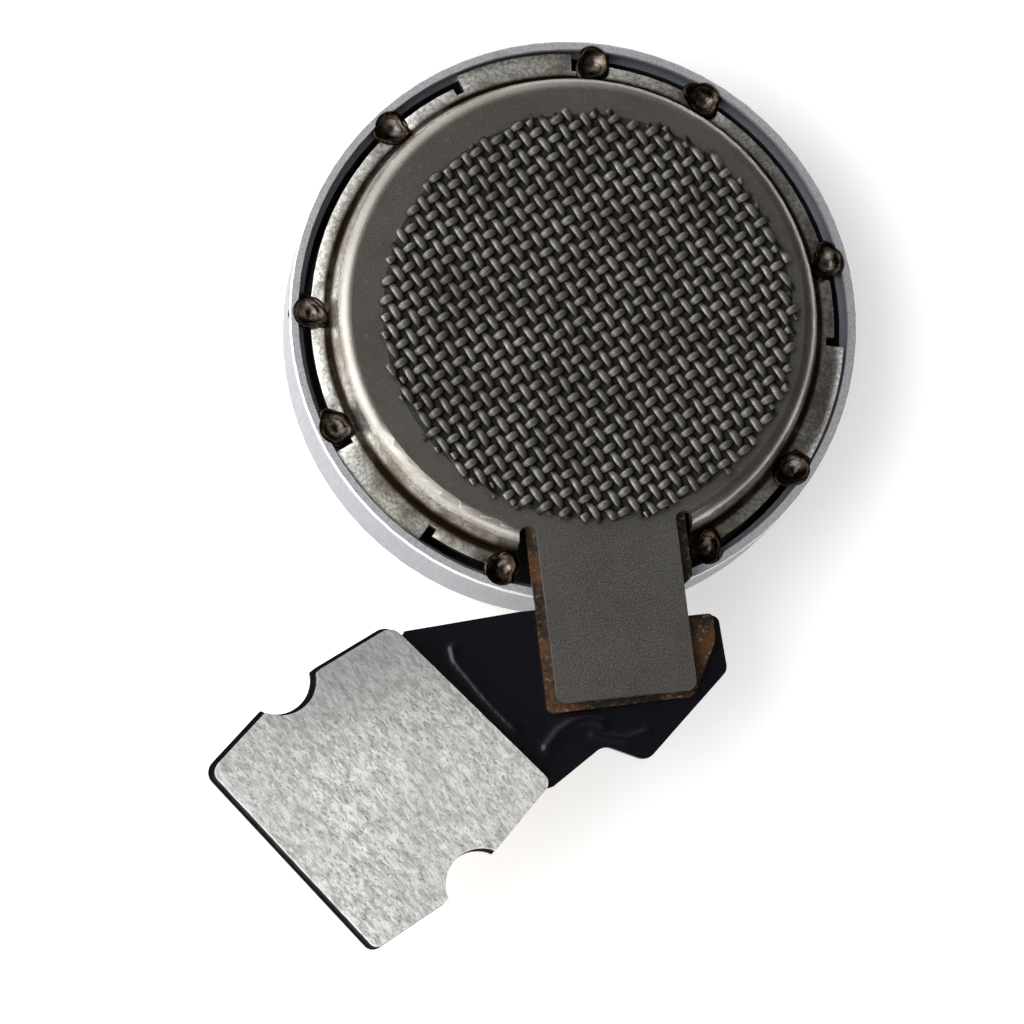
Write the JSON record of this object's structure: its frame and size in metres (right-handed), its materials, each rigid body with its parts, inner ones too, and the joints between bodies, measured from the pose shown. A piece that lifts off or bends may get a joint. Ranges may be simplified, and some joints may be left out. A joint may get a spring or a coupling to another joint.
{
  "type": "vibration coin motor",
  "caption": "Flat coin vibration motor: eccentric rotor sealed in a steel cup, woven pad on its raised face, flexible circuit tail ending in a steel stiffener.",
  "frame": {"origin": "where the shaft axis meets the outer face of the case crown", "axes": "+Z along the shaft from the crown to the woven pad; -Y along the bracket's tongue; the tail's head lies to -X and -Y"},
  "size_m": [0.0123, 0.0156, 0.0027],
  "materials": {
    "case_steel": "drawn nickel-plated steel, satin, with tarnish in the corners",
    "bracket_steel": "stamped steel, dull grey, slightly stained",
    "weld": "laser melt, bright glint in a dark bowl",
    "shaft_steel": "ground steel pin",
    "washer": "low-friction plastic washer",
    "film": "thin clear adhesive film",
    "pad_weave": "plain-woven metal-coated threads, grey with light highlights",
    "magnet": "nickel-plated sintered magnet",
    "amber_film": "amber polyimide circuit",
    "brush_alloy": "copper alloy leaf",
    "solder": "bright solder",
    "bearing_bronze": "sintered bronze bush",
    "copper": "enamelled copper winding",
    "pin_steel": "plain steel pin",
    "tungsten": "sintered tungsten alloy",
    "resin": "moulded black resin",
    "board": "glass-epoxy board",
    "gold": "gold-plated copper",
    "black_film": "glossy black cover film over copper tracks",
    "stiffener_steel": "bright rolled steel, fine streaks"
  },
  "bodies": {
    "motor": {"case_cup": "case_steel", "bracket_plate": "bracket_steel", "weld_spots": "weld", "shaft_pin": "shaft_steel", "thrust_washer_lower": "washer", "thrust_washer_upper": "washer", "pad_adhesive": "film", "woven_pad": "pad_weave", "ring_magnet": "magnet", "magnet_adhesive": "film", "base_flex": "amber_film", "base_flex_adhesive": "film", "brush_left": "brush_alloy", "brush_right": "brush_alloy", "brush_solder": "solder", "tail_flex_root": "black_film", "tail_flex_neck": "black_film", "tail_solder_joints": "solder"},
    "rotor": {"rotor_bearing": "bearing_bronze", "coil_a": "copper", "coil_b": "copper", "cogging_pins": "pin_steel", "tungsten_weight": "tungsten", "rotor_resin": "resin", "commutator_board": "board", "commutator_segments": "gold"},
    "tail_head": {"tail_flex_end": "black_film", "stiffener_adhesive": "film", "tail_stiffener": "stiffener_steel", "contact_pads": "gold"}
  },
  "joints": [
    {"name": "rotor_spin", "type": "hinge", "parent": "motor", "child": "rotor", "pos_m": [0, 0, 0.001], "axis": [0, 0, 1], "continuous": true},
    {"name": "tail_bend", "type": "hinge", "parent": "motor", "child": "tail_head", "pos_m": [-0.00229, -0.00634, 0.00214], "axis": [0.5807, -0.8141, 0], "range_deg": [-45, 45], "stiffness_Nm_per_rad": 0.001, "deforming": ["tail_flex_neck"]}
  ]
}
